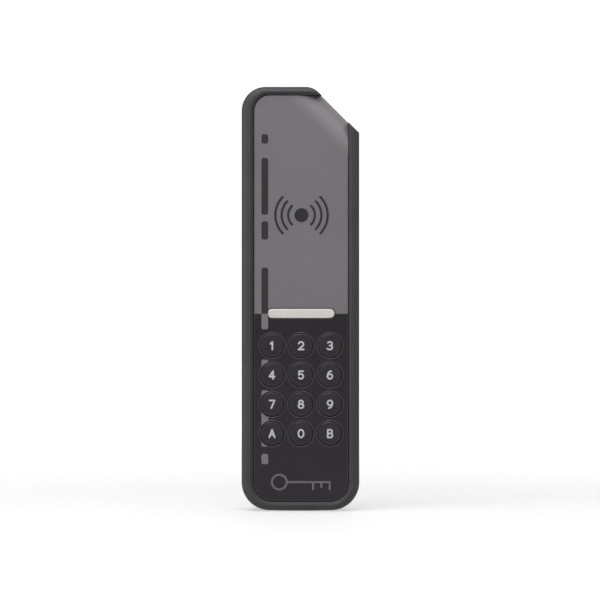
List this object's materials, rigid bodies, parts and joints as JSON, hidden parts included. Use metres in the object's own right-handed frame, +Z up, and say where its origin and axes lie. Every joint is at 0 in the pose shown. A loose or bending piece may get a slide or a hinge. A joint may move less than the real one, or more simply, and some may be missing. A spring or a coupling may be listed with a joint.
{
  "type": "wall-mounted rfid card reader",
  "caption": "Slim wall-mounted RFID card reader with a round-key keypad, a light bar and a cut upper corner, on a hook-on wall base with a cable inlet.",
  "frame": {"origin": "middle of the wall base's rear face, on the wall plane", "axes": "+X to the reader's right as its user sees it, +Y into the wall, +Z up; the front faces -Y"},
  "size_m": [0.044, 0.022, 0.1583],
  "materials": {
    "dark_plastic": "fine moulded texture, dark grey",
    "panel_grey": "in-mould printed, semi-gloss",
    "key_black": "satin caps on silicone",
    "milky_diffuser": "milky light guide, unlit",
    "black_rubber": "matte",
    "grey_silicone": "matte",
    "tape_white": "matte foam tape",
    "board_green": "solder mask over glass fibre",
    "copper": "plated copper trace",
    "ferrite_grey": "matte flexible ferrite",
    "chip_black": "moulded epoxy",
    "tin": "satin can",
    "led_white": "clear over phosphor",
    "terminal_green": "moulded nylon",
    "steel": "zinc plated",
    "nylon": "natural nylon"
  },
  "bodies": {
    "wall_unit": {"wall_base": "dark_plastic", "wall_gasket": "black_rubber", "cable_grommet": "black_rubber"},
    "front_unit": {"housing": "dark_plastic", "front_panel": "panel_grey", "panel_adhesive": "tape_white", "light_bar": "milky_diffuser", "keypad_mat": "grey_silicone", "main_board": "board_green", "board_screw_1": "steel", "board_screw_2": "steel", "board_screw_3": "steel", "board_screw_4": "steel", "antenna_coil": "copper", "ferrite_sheet": "ferrite_grey", "led_left": "led_white", "led_centre": "led_white", "led_right": "led_white", "mcu": "chip_black", "rf_chip": "chip_black", "crystal": "tin", "inductor": "chip_black", "regulator": "chip_black", "capacitor_1": "tin", "capacitor_2": "tin", "buzzer": "chip_black", "tamper_switch": "chip_black", "terminal_header": "terminal_green", "terminal_plug": "terminal_green", "terminal_screw_1": "steel", "terminal_screw_2": "steel", "terminal_screw_3": "steel", "terminal_screw_4": "steel", "terminal_screw_5": "steel", "terminal_screw_6": "steel", "security_screw": "steel", "screw_retainer": "nylon"},
    "key_1": {"key_1": "key_black"},
    "key_2": {"key_2": "key_black"},
    "key_3": {"key_3": "key_black"},
    "key_4": {"key_4": "key_black"},
    "key_5": {"key_5": "key_black"},
    "key_6": {"key_6": "key_black"},
    "key_7": {"key_7": "key_black"},
    "key_8": {"key_8": "key_black"},
    "key_9": {"key_9": "key_black"},
    "key_a": {"key_a": "key_black"},
    "key_0": {"key_0": "key_black"},
    "key_b": {"key_b": "key_black"},
    "tamper_plunger": {"tamper_plunger": "nylon"}
  },
  "joints": [
    {"name": "front_unit_tilt", "type": "hinge", "parent": "wall_unit", "child": "front_unit", "pos_m": [0, -0.0003, 0.0792], "axis": [-1, 0, 0], "range_deg": [0, 25]},
    {"name": "key_1_press", "type": "slide", "parent": "front_unit", "child": "key_1", "axis": [0, 1, 0], "range_m": [0, 0.0006], "stiffness_N_per_m": 800, "springref_m": -0.0003},
    {"name": "key_2_press", "type": "slide", "parent": "front_unit", "child": "key_2", "axis": [0, 1, 0], "range_m": [0, 0.0006], "stiffness_N_per_m": 800, "springref_m": -0.0003},
    {"name": "key_3_press", "type": "slide", "parent": "front_unit", "child": "key_3", "axis": [0, 1, 0], "range_m": [0, 0.0006], "stiffness_N_per_m": 800, "springref_m": -0.0003},
    {"name": "key_4_press", "type": "slide", "parent": "front_unit", "child": "key_4", "axis": [0, 1, 0], "range_m": [0, 0.0006], "stiffness_N_per_m": 800, "springref_m": -0.0003},
    {"name": "key_5_press", "type": "slide", "parent": "front_unit", "child": "key_5", "axis": [0, 1, 0], "range_m": [0, 0.0006], "stiffness_N_per_m": 800, "springref_m": -0.0003},
    {"name": "key_6_press", "type": "slide", "parent": "front_unit", "child": "key_6", "axis": [0, 1, 0], "range_m": [0, 0.0006], "stiffness_N_per_m": 800, "springref_m": -0.0003},
    {"name": "key_7_press", "type": "slide", "parent": "front_unit", "child": "key_7", "axis": [0, 1, 0], "range_m": [0, 0.0006], "stiffness_N_per_m": 800, "springref_m": -0.0003},
    {"name": "key_8_press", "type": "slide", "parent": "front_unit", "child": "key_8", "axis": [0, 1, 0], "range_m": [0, 0.0006], "stiffness_N_per_m": 800, "springref_m": -0.0003},
    {"name": "key_9_press", "type": "slide", "parent": "front_unit", "child": "key_9", "axis": [0, 1, 0], "range_m": [0, 0.0006], "stiffness_N_per_m": 800, "springref_m": -0.0003},
    {"name": "key_a_press", "type": "slide", "parent": "front_unit", "child": "key_a", "axis": [0, 1, 0], "range_m": [0, 0.0006], "stiffness_N_per_m": 800, "springref_m": -0.0003},
    {"name": "key_0_press", "type": "slide", "parent": "front_unit", "child": "key_0", "axis": [0, 1, 0], "range_m": [0, 0.0006], "stiffness_N_per_m": 800, "springref_m": -0.0003},
    {"name": "key_b_press", "type": "slide", "parent": "front_unit", "child": "key_b", "axis": [0, 1, 0], "range_m": [0, 0.0006], "stiffness_N_per_m": 800, "springref_m": -0.0003},
    {"name": "tamper_press", "type": "slide", "parent": "front_unit", "child": "tamper_plunger", "axis": [0, -1, 0], "range_m": [0, 0.0008], "stiffness_N_per_m": 400, "springref_m": -0.0003}
  ]
}
